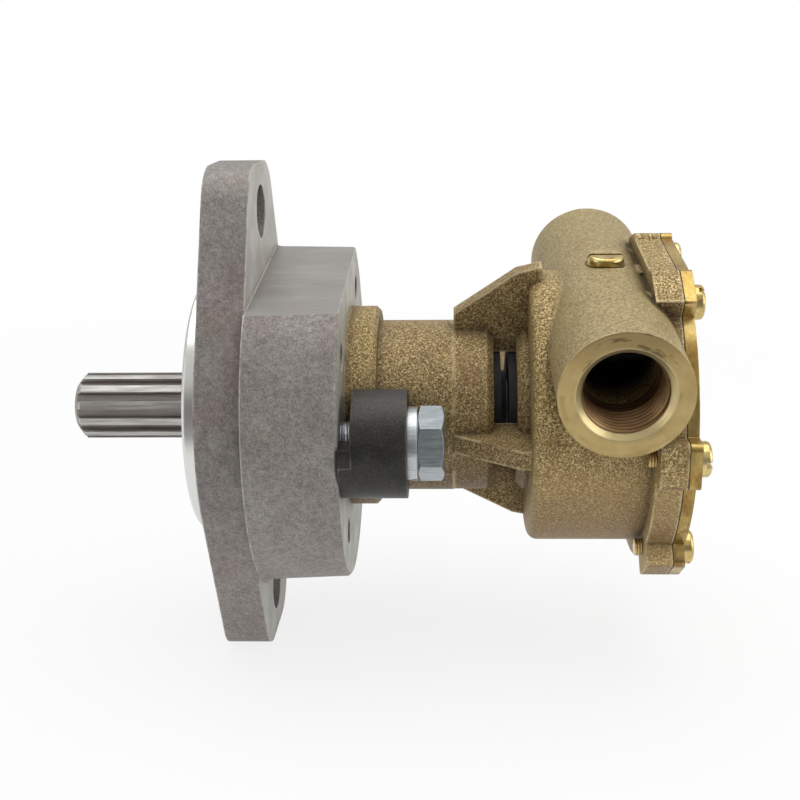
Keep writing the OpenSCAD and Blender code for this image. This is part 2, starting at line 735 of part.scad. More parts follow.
// A slotted screw along +Z: the underside of its head is at zero
module slotted_screw(d, len, head_d, head_h, slot_turn) {
    round_r = head_h*head_round_share;
    difference() {
        union() {
            translate([0, 0, -len]) cylinder(d = d, h = len + seat_gap);
            rotate_extrude() {
                square([head_d/2, head_h - round_r]);
                square([head_d/2 - round_r, head_h]);
                translate([head_d/2 - round_r, head_h - round_r]) circle(r = round_r);
            }
        }
        rotate([0, 0, slot_turn]) translate([-head_d, -slot_w/2, head_h*(1 - slot_depth_share)])
            cube([2*head_d, slot_w, head_h]);
    }
}

module cam_screw() {
    head_z = port_top_z - cam_recess_h;
    color([0.83, 0.66, 0.33]) pump_frame() translate([port_x, 0, head_z])
        slotted_screw(cam_screw_d, head_z - cam_low_z - cam_t/4, cam_screw_head_d,
            cam_screw_head_h, 0);
}

// Middle line of one bent blade, from its root (t = 0) to its tip (t = 1)
function blade_point(root_a, bend, reach, t) =
    let (r = blade_root_r + (reach - blade_root_r)*t, a = root_a + bend*t*t)
    [r*cos(a), r*sin(a)];
function blade_half_t(t) = (blade_root_t + (blade_tip_t - blade_root_t)*t)/2;
function blade_normal(root_a, bend, reach, t) =
    let (
        step = 1/blade_rows/2,
        d = blade_point(root_a, bend, reach, t + step)
            - blade_point(root_a, bend, reach, t - step)
    )
    [-d[1], d[0]]/norm(d);
function blade_edge(root_a, bend, reach, side) = [for (i = [0:blade_rows])
    let (t = side > 0 ? i/blade_rows : 1 - i/blade_rows)
    blade_point(root_a, bend, reach, t)
        + side*blade_half_t(t)*blade_normal(root_a, bend, reach, t)];

module blade(root_a, bend, reach) {
    polygon(concat(blade_edge(root_a, bend, reach, 1), blade_edge(root_a, bend, reach, -1)));
    translate(blade_point(root_a, bend, reach, 1)) circle(r = blade_bead_r);
}

module impeller_rubber() {
    color([0.10, 0.10, 0.10]) pump_frame() plate_x(impeller_x, impeller_len) difference() {
        union() {
            circle(d = impeller_hub_d);
            for (i = [0:blade_count - 1]) {
                root_a = (i + 0.5)*blade_step;
                under_cam = abs(root_a + blade_bend - 90) < cam_reach_angle;
                blade(root_a, under_cam ? cam_blade_bend : blade_bend,
                    under_cam ? blade_cam_reach : blade_reach);
            }
        }
        circle(d = insert_d);
    }
}

module impeller_insert() {
    color([0.66, 0.52, 0.28]) pump_frame() difference() {
        tube_x(impeller_x + insert_back, insert_len, insert_d, impeller_shaft_d + 2*seat_gap);
        rotate([-pump_turn, 0, 0]) translate([impeller_x, -key_w/2 - seat_gap, 0])
            cube([impeller_len, key_w + 2*seat_gap, impeller_shaft_d/2 + key_h/2 + seat_gap]);
    }
}

module impeller_key() {
    color([0.55, 0.55, 0.56]) translate([key_x, -key_w/2, impeller_shaft_d/2 - key_h/2])
        cube([key_len, key_w, key_h]);
}

// Gasket, cover and their screws

module cover_gasket() {
    color([0.16, 0.13, 0.10]) difference() {
        pump_frame() plate_x(barrel_end_x, gasket_t) difference() {
            cover_outline();
            circle(d = gasket_bore_d);
        }
        cover_places() rod_x(barrel_end_x - overrun, gasket_t + 2*overrun,
            cover_screw_d + 4*seat_gap);
    }
}

module end_cover() {
    color([0.78, 0.62, 0.30]) difference() {
        pump_frame() plate_x(cover_x, cover_t) cover_outline();
        cover_places() rod_x(cover_x - overrun, cover_t + 2*overrun,
            cover_screw_d + 4*seat_gap);
    }
}

module cover_screws() {
    color([0.85, 0.68, 0.34]) cover_places() translate([cover_end_x, 0, 0]) rotate([0, 90, 0])
        slotted_screw(cover_screw_d, cover_end_x - screw_tip_x,
            cover_screw_head_d, cover_screw_head_h, 0);
}

// Clamps

module clamp_places() {
    for (a = [90, 270]) rotate([a + clamp_turn, 0, 0]) translate([0, 0, clamp_bolt_r])
        children();
}

// One clamp: a thick disc that bears on the collar, with a foot on the adapter below its bolt
module clamp_form() {
    difference() {
        union() {
            rod_x(clamp_front_x, clamp_end_x - clamp_front_x, clamp_d);
            intersection() {
                rod_x(block_rear_x, clamp_end_x - block_rear_x, clamp_d);
                translate([block_rear_x, -clamp_d*(1 + foot_line_share), -clamp_d])
                    cube([clamp_t, clamp_d, 2*clamp_d]);
            }
        }
        translate([0, 0, -clamp_bolt_r])
            rod_x(block_rear_x - overrun, collar_t + overrun, collar_d + 2*free_gap);
        translate([0, 0, -clamp_bolt_r])
            rod_x(block_rear_x - overrun, 2*clamp_end_x, neck_d + 2*free_gap);
        rod_x(block_rear_x - overrun, clamp_end_x, clamp_bolt_d + 2*free_gap);
    }
}

module near_clamp() {
    color([0.17, 0.16, 0.16]) rotate([90 + clamp_turn, 0, 0])
        translate([0, 0, clamp_bolt_r]) clamp_form();
}

module far_clamp() {
    color([0.17, 0.16, 0.16]) rotate([270 + clamp_turn, 0, 0])
        translate([0, 0, clamp_bolt_r]) clamp_form();
}

module clamp_bolts() {
    head_x = clamp_end_x + washer_t;
    color([0.70, 0.73, 0.76]) clamp_places() {
        rod_x(block_rear_x - bolt_reach, head_x + bolt_reach - block_rear_x, clamp_bolt_d);
        hex_head(head_x);
    }
}

// A hexagon head whose corners are cut by a cone, as on a turned bolt
module hex_head(x0) {
    corner_d = clamp_bolt_af/cos(30);
    cone_h = (corner_d - clamp_bolt_af)*head_chamfer_share;
    intersection() {
        translate([x0, 0, 0]) rotate([0, 90, 0])
            cylinder(d = corner_d, h = clamp_bolt_head_h, $fn = 6);
        turned([[0, x0], [corner_d/2, x0], [corner_d/2, x0 + clamp_bolt_head_h - cone_h],
            [clamp_bolt_af/2, x0 + clamp_bolt_head_h], [0, x0 + clamp_bolt_head_h]]);
    }
}

// Spring washers, each split by a slanting cut
module clamp_washers() {
    color([0.72, 0.75, 0.78]) clamp_places() difference() {
        tube_x(clamp_end_x, washer_t, washer_d, clamp_bolt_d + 2*free_gap);
        rotate([washer_split_turn, 0, 0]) translate([clamp_end_x + washer_t/2, 0, 0])
            rotate([0, 0, washer_split_slant])
                translate([-washer_t, -washer_split_w/2, 0])
                    cube([2*washer_t, washer_split_w, washer_d]);
    }
}

adapter_flange();
bearing_housing();
nose_o_ring();
nose_oil_seal();
front_outer_race();
front_inner_race();
front_balls();
front_cage();
bearing_spacer();
rear_outer_race();
rear_inner_race();
rear_balls();
rear_cage();
housing_circlip();
shaft_circlip();
tail_oil_seal();
drive_shaft();
slinger_ring();
pump_body();
water_seal();
wear_plate();
cam_plate();
cam_screw();
impeller_insert();
impeller_rubber();
impeller_key();
cover_gasket();
end_cover();
cover_screws();
near_clamp();
far_clamp();
clamp_bolts();
clamp_washers();
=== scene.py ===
"""Looks of the flange mounted impeller pump: materials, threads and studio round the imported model.

Everything is in metres in the model's own frame: X along the shaft from the engine to the end
cover, Z up along the ears, origin on the shaft axis in the front face of the mounting flange.
"""

import json
import math

import bmesh
import bpy
from mathutils import Matrix, Vector


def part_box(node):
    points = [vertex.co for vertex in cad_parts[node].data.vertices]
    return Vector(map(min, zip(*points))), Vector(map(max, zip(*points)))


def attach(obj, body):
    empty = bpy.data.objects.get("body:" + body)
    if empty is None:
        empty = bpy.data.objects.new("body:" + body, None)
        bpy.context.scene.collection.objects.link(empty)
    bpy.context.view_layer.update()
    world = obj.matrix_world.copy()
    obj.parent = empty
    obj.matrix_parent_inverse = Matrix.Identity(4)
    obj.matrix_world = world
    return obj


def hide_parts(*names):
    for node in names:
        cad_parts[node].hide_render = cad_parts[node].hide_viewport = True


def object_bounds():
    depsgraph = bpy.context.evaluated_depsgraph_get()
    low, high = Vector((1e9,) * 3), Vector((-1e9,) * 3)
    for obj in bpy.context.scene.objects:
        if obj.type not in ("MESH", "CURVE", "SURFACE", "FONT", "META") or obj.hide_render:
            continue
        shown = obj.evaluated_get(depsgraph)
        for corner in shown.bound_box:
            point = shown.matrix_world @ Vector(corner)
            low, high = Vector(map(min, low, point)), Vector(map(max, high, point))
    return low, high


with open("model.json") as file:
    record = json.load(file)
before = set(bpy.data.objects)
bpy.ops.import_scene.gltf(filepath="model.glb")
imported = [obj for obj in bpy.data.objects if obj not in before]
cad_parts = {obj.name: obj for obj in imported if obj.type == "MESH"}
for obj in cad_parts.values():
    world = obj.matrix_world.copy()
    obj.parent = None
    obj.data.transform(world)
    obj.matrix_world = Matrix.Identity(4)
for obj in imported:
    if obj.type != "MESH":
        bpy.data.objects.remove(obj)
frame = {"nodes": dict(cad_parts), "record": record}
NODES = frame["nodes"]
cad_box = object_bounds()
MM = 0.001

# The pump's turn about the shaft, taken from its near port's axis in the record
mounts = {m["name"]: m for m in frame["record"]["mounts"]}
near_axis = Vector(mounts["near_port"]["axis"])
PUMP_TURN = math.atan2(-near_axis.z, -near_axis.y)
PORT_X = mounts["near_port"]["pos_m"][0]
PORT_MID = Matrix.Rotation(-PUMP_TURN, 3, "X") @ Vector(mounts["near_port"]["pos_m"])
PORT_H = PORT_MID.z
THREAD_R = mounts["near_port"]["dims"]["r_mm"] * MM
PUMP = Matrix.Rotation(PUMP_TURN, 4, "X")
BLOCK_TURN = math.radians(8)  # slope of the milled flat on top of the adapter's block

# Where surfaces change along the shaft, as the start and end of a soft step, in metres
FLANGE_BACK = (0.0172, 0.0178)
COLLAR_END = (0.0625, 0.065)
HUB_END = (0.118, 0.1225)
EDGE_SAMPLES = 4  # rays of each bevel and shade node


# ---------------------------------------------------------------- shader building


def srgb(r, g, b):
    """A colour written as 0 to 255 steps, as a linear colour."""
    out = []
    for c in (r, g, b):
        c /= 255
        out.append(c / 12.92 if c < 0.04045 else ((c + 0.055) / 1.055) ** 2.4)
    return (*out, 1.0)


def node(tree, kind, values=None, **settings):
    """A new shader node. values are put on its inputs, by name or number, or linked to them."""
    n = tree.nodes.new("ShaderNode" + kind)
    for key, value in settings.items():
        setattr(n, key, value)
    for key, value in (values or {}).items():
        if isinstance(value, bpy.types.NodeSocket):
            tree.links.new(value, n.inputs[key])
        else:
            n.inputs[key].default_value = value
    return n


def smooth_step(tree, value, low, high, start=0.0, end=1.0):
    """start below low, end above high, smooth between."""
    return node(tree, "MapRange", {"Value": value, "From Min": low, "From Max": high,
                                   "To Min": start, "To Max": end},
                interpolation_type="SMOOTHSTEP").outputs[0]


class Shader:
    """A small node-tree builder round one Principled shader."""

    def __init__(self, name):
        self.mat = bpy.data.materials.new(name)
        self.mat.use_nodes = True
        self.tree = self.mat.node_tree
        self.tree.nodes.clear()
        self.bsdf = node(self.tree, "BsdfPrincipled")
        node(self.tree, "OutputMaterial", {0: self.bsdf.outputs[0]})
        coord = node(self.tree, "TexCoord")
        self.place = coord.outputs["Object"]
        self.normal = coord.outputs["Normal"]

    def add(self, kind, values=None, **settings):
        return node(self.tree, kind, values, **settings)

    def set(self, **values):
        """Sets or links the Principled shader's own inputs."""
        names = {"base": "Base Color", "metallic": "Metallic", "rough": "Roughness",
                 "specular": "Specular IOR Level", "normal": "Normal"}
        for key, value in values.items():
            socket = self.bsdf.inputs[names[key]]
            if isinstance(value, bpy.types.NodeSocket):
                self.tree.links.new(value, socket)
            else:
                socket.default_value = value

    def math(self, op, a, b=0.0):
        return self.add("Math", {0: a, 1: b}, operation=op).outputs[0]

    def times(self, a, b):
        return self.math("MULTIPLY", a, b)

    def plus(self, a, b):
        return self.math("ADD", a, b)

    def invert(self, a):
        return self.math("SUBTRACT", 1.0, a)

    def reach(self, a, b):
        """The length of (a, b)."""
        return self.math("SQRT", self.plus(self.times(a, a), self.times(b, b)))

    def vector(self, op, a, b):
        n = self.add("VectorMath", {0: a, 1: b}, operation=op)
        return n.outputs["Value"] if op == "DOT_PRODUCT" else n.outputs[0]

    def split(self, v):
        return tuple(self.add("SeparateXYZ", {0: v}).outputs)

    def join(self, x, y, z):
        return self.add("CombineXYZ", {0: x, 1: y, 2: z}).outputs[0]

    def turned(self, v, angle):
        """v turned about X, in radians."""
        return self.add("VectorRotate", {"Vector": v, "Angle": angle},
                        rotation_type="X_AXIS").outputs[0]

    def step(self, value, low, high):
        """0 below low, 1 above high, smooth between."""
        return smooth_step(self.tree, value, low, high)

    def scaled(self, v, s):
        return self.vector("MULTIPLY", v, s)

    def noise(self, size, detail=2.0, rough=0.5, at=None, warp=0.0):
        """Noise whose blobs are about size metres across."""
        return self.add("TexNoise", {"Vector": self.place if at is None else at,
                                     "Scale": 0.6 / size, "Detail": detail,
                                     "Roughness": rough, "Distortion": warp}).outputs[0]

    def cells(self, size):
        """A random colour for each crystal of about size metres."""
        return self.add("TexVoronoi", {"Vector": self.place,
                                       "Scale": 1 / size}).outputs["Color"]

    def ramp(self, fac, stops):
        """A colour ramp. A stop's second value is a colour or a grey level."""
        n = self.add("ValToRGB", {0: fac})
        els = n.color_ramp.elements
        while len(els) < len(stops):
            els.new(0.5)
        for e, (pos, colour) in zip(els, stops):
            e.position = pos
            e.color = colour if isinstance(colour, tuple) else (colour, colour, colour, 1)
        return n.outputs[0]

    def mix(self, fac, a, b, blend="MIX"):
        return self.add("Mix", {0: fac, 6: a, 7: b}, data_type="RGBA", blend_type=blend).outputs[2]

    def mixf(self, fac, a, b):
        return self.add("Mix", {0: fac, 2: a, 3: b}).outputs[0]

    def bevel(self, radius):
        """The normal with sharp edges rounded off."""
        return self.add("Bevel", {"Radius": radius}, samples=EDGE_SAMPLES).outputs[0]

    def bump(self, height, depth, strength, base=None):
        values = {"Distance": depth, "Strength": strength, "Height": height}
        if base is not None:
            values["Normal"] = base
        return self.add("Bump", values).outputs[0]

    def edges(self, distance, low=0.45, high=0.75):
        """1 along sharp outer edges, where wear and a painted highlight make metal bright, else 0.
        """
        return self.invert(self.step(self.shade(distance, inside=True), low, high))

    def shade(self, distance, inside=False):
        """How open the surface is to its surroundings, from 0 in a recess to 1."""
        return self.add("AmbientOcclusion", {"Distance": distance},
                        samples=EDGE_SAMPLES, inside=inside).outputs["AO"]


# ---------------------------------------------------------------- materials


def cast_aluminium():
    s = Shader("cast_aluminium")
    x, y, z = s.split(s.place)
    block = s.step(x, *FLANGE_BACK)
    flange = s.invert(block)
    # Cast skin: warm grey with faint purple-brown clouds, paler low down as painted light from the
    # floor below
    skin = s.ramp(s.noise(0.011, 4, 0.6), [
        (0.32, srgb(117, 111, 107)), (0.5, srgb(127, 122, 118)), (0.68, srgb(139, 135, 131))])
    stain = s.noise(0.030, 4, 0.6, at=s.scaled(s.place, (1, 1.3, 0.8)))
    skin = s.mix(s.times(s.step(stain, 0.50, 0.66), 0.6), skin, srgb(124, 108, 107))
    skin = s.mix(s.times(s.step(s.noise(0.017, 4, 0.6), 0.56, 0.72), 0.3), skin,
                 srgb(138, 120, 98))
    skin = s.mix(s.times(block, 0.25), skin, srgb(152, 147, 143))
    # Painted light: the lower part is made paler, as if lit from the floor below
    painted_floor_bounce = s.invert(s.step(z, -0.07, -0.005))
    skin = s.mix(s.times(painted_floor_bounce, 0.32), skin, srgb(168, 158, 153))
    # Fine grain and pits
    grain = s.noise(0.00042, 2, 0.7)
    pits = s.noise(0.0013, 3, 0.65)
    mixed = s.plus(s.times(grain, 0.6), s.times(pits, 0.4))
    skin = s.mix(0.8, skin, s.ramp(mixed, [(0.32, 0.2), (0.5, 0.5), (0.68, 0.82)]), "OVERLAY")
    # Milled marks: slanting on the block's side, upright on the flange's edge, and along the
    # shaft on the block's flat
    slant = s.join(s.plus(s.times(x, 0.85), s.times(z, 0.5)),
                   s.math("SUBTRACT", s.times(z, 0.86), s.times(x, 0.5)), y)
    marks = s.noise(0.0008, 3, 0.65, at=s.scaled(slant, (0.14, 1, 0.4)), warp=0.5)
    marked = s.times(s.step(x, 0.0185, 0.022), s.step(z, -0.035, 0.005))
    brush = s.noise(0.0009, 3, 0.65, at=s.scaled(s.place, (0.05, 1, 1)))
    combed = s.noise(0.0007, 3, 0.65, at=s.scaled(s.place, (1, 0.5, 0.12)))
    # The block's milled flat
    slope = (0, -math.sin(BLOCK_TURN), math.cos(BLOCK_TURN))
    flat = s.step(s.vector("DOT_PRODUCT", s.normal, slope), 0.992, 0.998)
    flat = s.times(flat, s.step(x, 0.017, 0.0178))
    sheen = s.mix(s.step(s.noise(0.016, 3, 0.6, at=s.scaled(s.place, (0.5, 1, 1))), 0.4, 0.66),
                  s.mix(brush, srgb(126, 121, 118), srgb(150, 146, 142)),
                  s.mix(brush, srgb(142, 142, 138), srgb(166, 165, 161)))
    base = s.mix(s.times(flat, 0.8), skin, sheen)
    # Paler machined faces that look to the pump
    behind = s.step(s.split(s.normal)[0], 0.9, 0.97)
    pale = s.times(behind, s.step(x, 0.016, 0.0172))
    faced = s.mix(s.step(s.noise(0.008, 3), 0.35, 0.7), srgb(174, 172, 164), srgb(200, 199, 192))
    faced = s.mix(s.times(flange, 0.5), faced, srgb(158, 156, 149))
    faced = s.mix(0.6, faced, s.ramp(grain, [(0.3, 0.4), (0.7, 0.6)]), "OVERLAY")
    base = s.mix(s.times(pale, 0.85), base, faced)
    # The turned pilot, in front of the flange
    pilot = s.invert(s.step(x, -0.0006, -0.0001))
    rings = s.noise(0.0006, 2, 0.6, at=s.join(x, s.reach(y, z), 0.0))
    base = s.mix(pilot, base, s.mix(rings, srgb(212, 211, 208), srgb(230, 230, 228)))
    # Painted shade in the corners, worn edges with a painted highlight, and a painted highlight
    # along the line where the flat meets the flange
    # Painted shade: darker where the surface is closed in, in the corners
    base = s.mix(s.step(s.shade(0.004), 0.35, 0.95), s.mix(0.5, base, srgb(88, 82, 76)), base)
    # Edges made bright, partly wear and partly a painted highlight
    wear_and_highlight = s.times(s.edges(0.0013), s.step(s.noise(0.003, 3), 0.28, 0.55))
    # Painted highlight: a thin bright line on the flat where it meets the flange
    crease_highlight = s.times(s.step(x, 0.0174, 0.0176), s.invert(s.step(x, 0.0178, 0.0181)))
    crease_highlight = s.times(s.times(crease_highlight, flat), s.step(s.noise(0.0016, 3, 0.6), 0.34, 0.5))
    base = s.mix(s.times(wear_and_highlight, 0.85), base, srgb(222, 220, 214))
    base = s.mix(crease_highlight, base, srgb(204, 190, 172))
    height = s.plus(s.times(grain, 0.5), s.times(pits, 0.55))
    height = s.plus(height, s.times(s.times(marks, marked), 1.3))
    height = s.plus(height, s.times(s.times(combed, flange), 0.8))
    height = s.mixf(flat, height, s.times(brush, 0.5))
    height = s.mixf(pilot, height, s.times(rings, 0.12))
    shiny = s.math("MAXIMUM", pilot, s.times(wear_and_highlight, 0.5))
    shiny = s.math("MAXIMUM", shiny, s.times(s.times(pale, s.step(x, 0.05, 0.051)), 0.4))
    s.set(base=base,
          metallic=s.mixf(shiny, 0.3, 0.95),
          rough=s.mixf(pilot, s.mixf(flat, 0.55, 0.42), 0.24),
          normal=s.bump(height, 0.00022, 0.95, base=s.bevel(0.0008)))
    return s.mat


def cast_bronze(name, machined_ports):
    s = Shader(name)
    # Along the shaft, across and up in the pump's own frame
    px, py, pz = s.split(s.turned(s.place, -PUMP_TURN))
    nx, ny, _ = s.split(s.turned(s.normal, -PUMP_TURN))
    # Sand cast grain: crystals of dark and light metal, with a few glints painted in as bright
    # specks
    grain = s.noise(0.00034, 2, 0.7)
    grit = s.noise(0.00052, 2, 0.7)
    spark = s.split(s.cells(0.00042))[0]
    mixed = s.plus(s.times(grain, 0.5), s.times(grit, 0.5))
    skin = s.ramp(mixed, [(0.38, srgb(46, 32, 14)), (0.47, srgb(124, 99, 52)),
                          (0.53, srgb(174, 149, 90)), (0.62, srgb(250, 232, 180))])
    # Painted glints: bright specks on a few crystals
    skin = s.mix(s.times(s.step(spark, 0.84, 0.88), 0.4), skin, srgb(232, 214, 166))
    skin = s.mix(s.times(s.invert(s.step(spark, 0.16, 0.2)), 0.55), skin, srgb(66, 50, 26))
    tone = s.ramp(s.noise(0.014, 3, 0.55), [
        (0.3, srgb(142, 115, 68)), (0.5, srgb(158, 133, 84)), (0.7, srgb(174, 152, 102))])
    skin = s.mix(0.2, skin, tone)
    # Darker on the bearing housing and on the hub, painted shade on faces that look down, lighter on
    # the barrel's side
    hub = s.times(s.step(px, *COLLAR_END), s.invert(s.step(px, *HUB_END)))
    skin = s.mix(hub, skin, (0.78, 0.76, 0.77, 1), "MULTIPLY")
    collar = s.invert(s.step(px, *COLLAR_END))
    skin = s.mix(s.times(collar, 0.2), skin, srgb(112, 92, 56))
    barrel = s.times(s.step(px, *HUB_END), s.invert(s.step(pz, -0.012, 0.012)))
    skin = s.mix(s.times(barrel, 0.36), skin, srgb(206, 178, 124))
    # Painted shade: faces that look down are made darker
    low = s.invert(s.step(s.split(s.normal)[2], -0.75, 0.05))
    skin = s.mix(low, skin, (0.62, 0.58, 0.60, 1), "MULTIPLY")
    # Sandy and smoother on the upper part of the port tubes
    ux, uz = s.math("SUBTRACT", px, PORT_X), s.math("SUBTRACT", pz, PORT_H)
    r = s.reach(ux, uz)
    tube = s.times(s.step(pz, PORT_H - 0.010, PORT_H + 0.008), s.invert(s.step(r, 0.0238, 0.0244)))
    sandy = s.ramp(s.noise(0.0006, 2, 0.6), [
        (0.36, srgb(122, 106, 68)), (0.5, srgb(154, 138, 96)), (0.64, srgb(184, 168, 126))])
    skin = s.mix(s.times(tube, 0.78), skin, sandy)
    # Stains, painted shade in the corners, and worn edges with a painted highlight
    skin = s.mix(s.times(s.step(s.noise(0.009, 3), 0.56, 0.7), 0.35), skin, srgb(120, 84, 50))
    aside = s.vector("ADD", s.place, (0.013, 0.007, 0.002))
    patch = s.times(s.step(s.noise(0.006, 3, 0.6, at=aside), 0.57, 0.66), hub)
    skin = s.mix(s.times(patch, 0.3), skin, srgb(112, 98, 76))
    # Painted shade: near black where the surface is closed in, in the corners
    skin = s.mix(s.step(s.shade(0.006), 0.3, 0.95), s.mix(0.68, skin, srgb(38, 26, 14)), skin)
    # Edges made bright, partly wear and partly a painted highlight
    wear_and_highlight = s.times(s.edges(0.0014, 0.5, 0.82), s.step(s.noise(0.004, 3), 0.3, 0.55))
    skin = s.mix(s.times(wear_and_highlight, 0.8), skin, srgb(236, 218, 172))
    height = s.plus(s.times(grain, 0.8), s.times(grit, 0.6))
    height = s.times(height, s.mixf(tube, 1.0, 0.4))
    rough, metallic = s.mixf(grain, 0.42, 0.62), 0.4
    if machined_ports:
        # Cut metal: the bores and faces of the ports, and the joint under the cover, with a pale
        # lip, a brown thread and painted shade on the passage beyond it
        across = s.math("ABSOLUTE", py)
        mouth = s.times(s.step(across, 0.0475, 0.0505), s.invert(s.step(r, 0.0176, 0.0182)))
        face = s.times(s.step(across, 0.0705, 0.0708),
                       s.step(s.math("ABSOLUTE", ny), 0.5, 0.7))
        joint = s.times(s.step(px, 0.1738, 0.1742), s.step(nx, 0.5, 0.9))
        joint = s.times(joint, s.step(r, 0.0240, 0.0244))
        cut = s.math("MAXIMUM", s.math("MAXIMUM", mouth, face), joint)
        brass = s.mix(s.noise(0.004, 3, 0.6), srgb(160, 136, 84), srgb(198, 176, 124))
        # Smudges that run round the port's face, most at its top
        around = s.times(s.math("ARCTAN2", uz, ux), 0.0052)
        streak = s.noise(0.0021, 4, 0.6, at=s.join(around, r, across))
        top = s.step(uz, -0.004, 0.014)
        smudge = s.times(s.step(streak, 0.54, 0.64), s.mixf(top, 0.2, 0.8))
        brass = s.mix(s.times(s.step(uz, 0.010, 0.020), 0.55), brass, srgb(138, 117, 82))
        brass = s.mix(smudge, brass, srgb(92, 74, 48))
        lip = s.times(s.step(r, 0.0150, 0.0153), s.invert(s.step(r, 0.0172, 0.0178)))
        brass = s.mix(s.times(lip, 0.55), brass, srgb(214, 198, 152))
        throat = s.times(mouth, s.invert(s.step(across, 0.0655, 0.0688)))
        brass = s.mix(throat, brass, srgb(92, 66, 44))
        # Painted shade: the passage beyond the thread is made near black
        painted_depth_shade = s.times(s.invert(s.step(across, 0.03, 0.0505)),
                       s.invert(s.step(r, 0.0150, 0.0154)))
        painted_depth_shade = s.times(painted_depth_shade, s.step(across, 0.004, 0.01))
        skin = s.mix(cut, skin, brass)
        skin = s.mix(painted_depth_shade, skin, srgb(34, 26, 18))
        swirl = s.noise(0.0005, 2, 0.6, at=s.join(r, across, 0.0))
        height = s.mixf(cut, height, s.times(swirl, 0.16))
        rough = s.mixf(cut, rough, 0.32)
        metallic = s.mixf(cut, metallic, 0.85)
    s.set(base=skin, rough=rough, metallic=metallic,
          normal=s.bump(height, 0.00045, 1.0, base=s.bevel(0.0011)))
    return s.mat


def yellow_brass():
    """Brushed plate, calmer on its faces than on its rim, where it is stained low down."""
    s = Shader("yellow_brass")
    face = s.step(s.math("ABSOLUTE", s.split(s.normal)[0]), 0.8, 0.95)
    wipe = s.noise(0.0007, 2, 0.6, at=s.scaled(s.place, (1, 1, 0.12)))
    tarnish = s.mixf(face, s.noise(0.012, 4, 0.6), s.noise(0.028, 3, 0.5))
    base = s.ramp(tarnish, [(0.32, srgb(142, 110, 58)), (0.5, srgb(174, 147, 84)),
                            (0.66, srgb(194, 170, 110))])
    spots = s.times(s.step(s.noise(0.005, 3), 0.6, 0.74), s.mixf(face, 1.0, 0.25))
    base = s.mix(spots, base, srgb(146, 104, 60))
    below = s.times(s.invert(face), s.invert(s.step(s.split(s.place)[2], -0.03, 0.03)))
    streaks = s.noise(0.007, 4, 0.65, at=s.scaled(s.place, (1, 1, 0.5)))
    dull = s.times(below, s.step(streaks, 0.38, 0.6))
    base = s.mix(s.times(dull, 0.75), base, srgb(118, 90, 54))
    base = s.mix(s.mixf(face, 0.3, 0.18), base, s.ramp(wipe, [(0.35, 0.3), (0.65, 0.72)]),
                 "OVERLAY")
    s.set(base=base, metallic=0.9, rough=s.mixf(tarnish, 0.22, 0.42),
          normal=s.bump(wipe, 0.00006, 0.8, base=s.bevel(0.0004)))
    return s.mat


def screw_brass():
    s = Shader("screw_brass")
    tarnish = s.noise(0.004, 3, 0.6)
    base = s.ramp(tarnish, [(0.34, srgb(176, 150, 90)), (0.52, srgb(206, 184, 124)),
                            (0.68, srgb(224, 206, 154))])
    # Painted shade: darker where the surface is closed in
    base = s.mix(s.step(s.shade(0.0015), 0.3, 0.9), s.mix(0.6, base, srgb(92, 66, 30)), base)
    s.set(base=base, metallic=0.92, rough=s.mixf(tarnish, 0.16, 0.34),
          normal=s.bump(s.noise(0.0004, 2, 0.6), 0.00003, 0.7, base=s.bevel(0.0004)))
    return s.mat


def thread_metal(name, low, high, rough):
    s = Shader(name)
    base = s.mix(s.noise(0.003, 3, 0.6), low, high)
    # Painted shade: near black in the roots of the thread
    base = s.mix(s.step(s.shade(0.0016), 0.25, 0.9), s.mix(0.7, base, srgb(24, 16, 10)), base)
    s.set(base=base, metallic=0.75, rough=rough,
          normal=s.bump(s.noise(0.0005, 2, 0.6), 0.00005, 0.8))
    return s.mat


def spline_steel():
    s = Shader("spline_steel")
    x, y, z = s.split(s.place)
    draw = s.noise(0.0007, 3, 0.6, at=s.scaled(s.place, (0.06, 1, 1)))
    stain = s.noise(0.006, 4, 0.6, at=s.scaled(s.place, (0.4, 1, 1)))
    base = s.ramp(draw, [(0.3, srgb(150, 147, 143)), (0.5, srgb(178, 175, 171)),
                         (0.7, srgb(206, 204, 201))])
    # Painted shade, brownish, in the gaps between the teeth, not on the shaft's end
    painted_depth_shade = s.invert(s.step(s.reach(y, z), 0.0116, 0.0130))
    painted_depth_shade = s.times(painted_depth_shade, s.invert(s.step(x, 0.006, 0.0065)))
    end = s.step(s.math("ABSOLUTE", s.split(s.normal)[0]), 0.7, 0.9)
    painted_depth_shade = s.times(painted_depth_shade, s.invert(end))
    base = s.mix(s.times(painted_depth_shade, 0.6), base, srgb(112, 98, 90))
    base = s.mix(s.times(s.step(stain, 0.56, 0.7), 0.5), base, srgb(128, 106, 92))
    s.set(base=base, metallic=0.8, rough=s.mixf(stain, 0.34, 0.5),
          normal=s.bump(draw, 0.00008, 0.8, base=s.bevel(0.0003)))
    return s.mat


def bearing_steel(name, colour, rough):
    s = Shader(name)
    x, y, z = s.split(s.place)
    rings = s.noise(0.0005, 2, 0.6, at=s.join(x, s.reach(y, z), 0.0))
    base = s.mix(s.times(rings, 0.35), colour, srgb(120, 122, 124))
    s.set(base=base, metallic=0.95, rough=rough, normal=s.bump(rings, 0.00003, 0.7))
    return s.mat


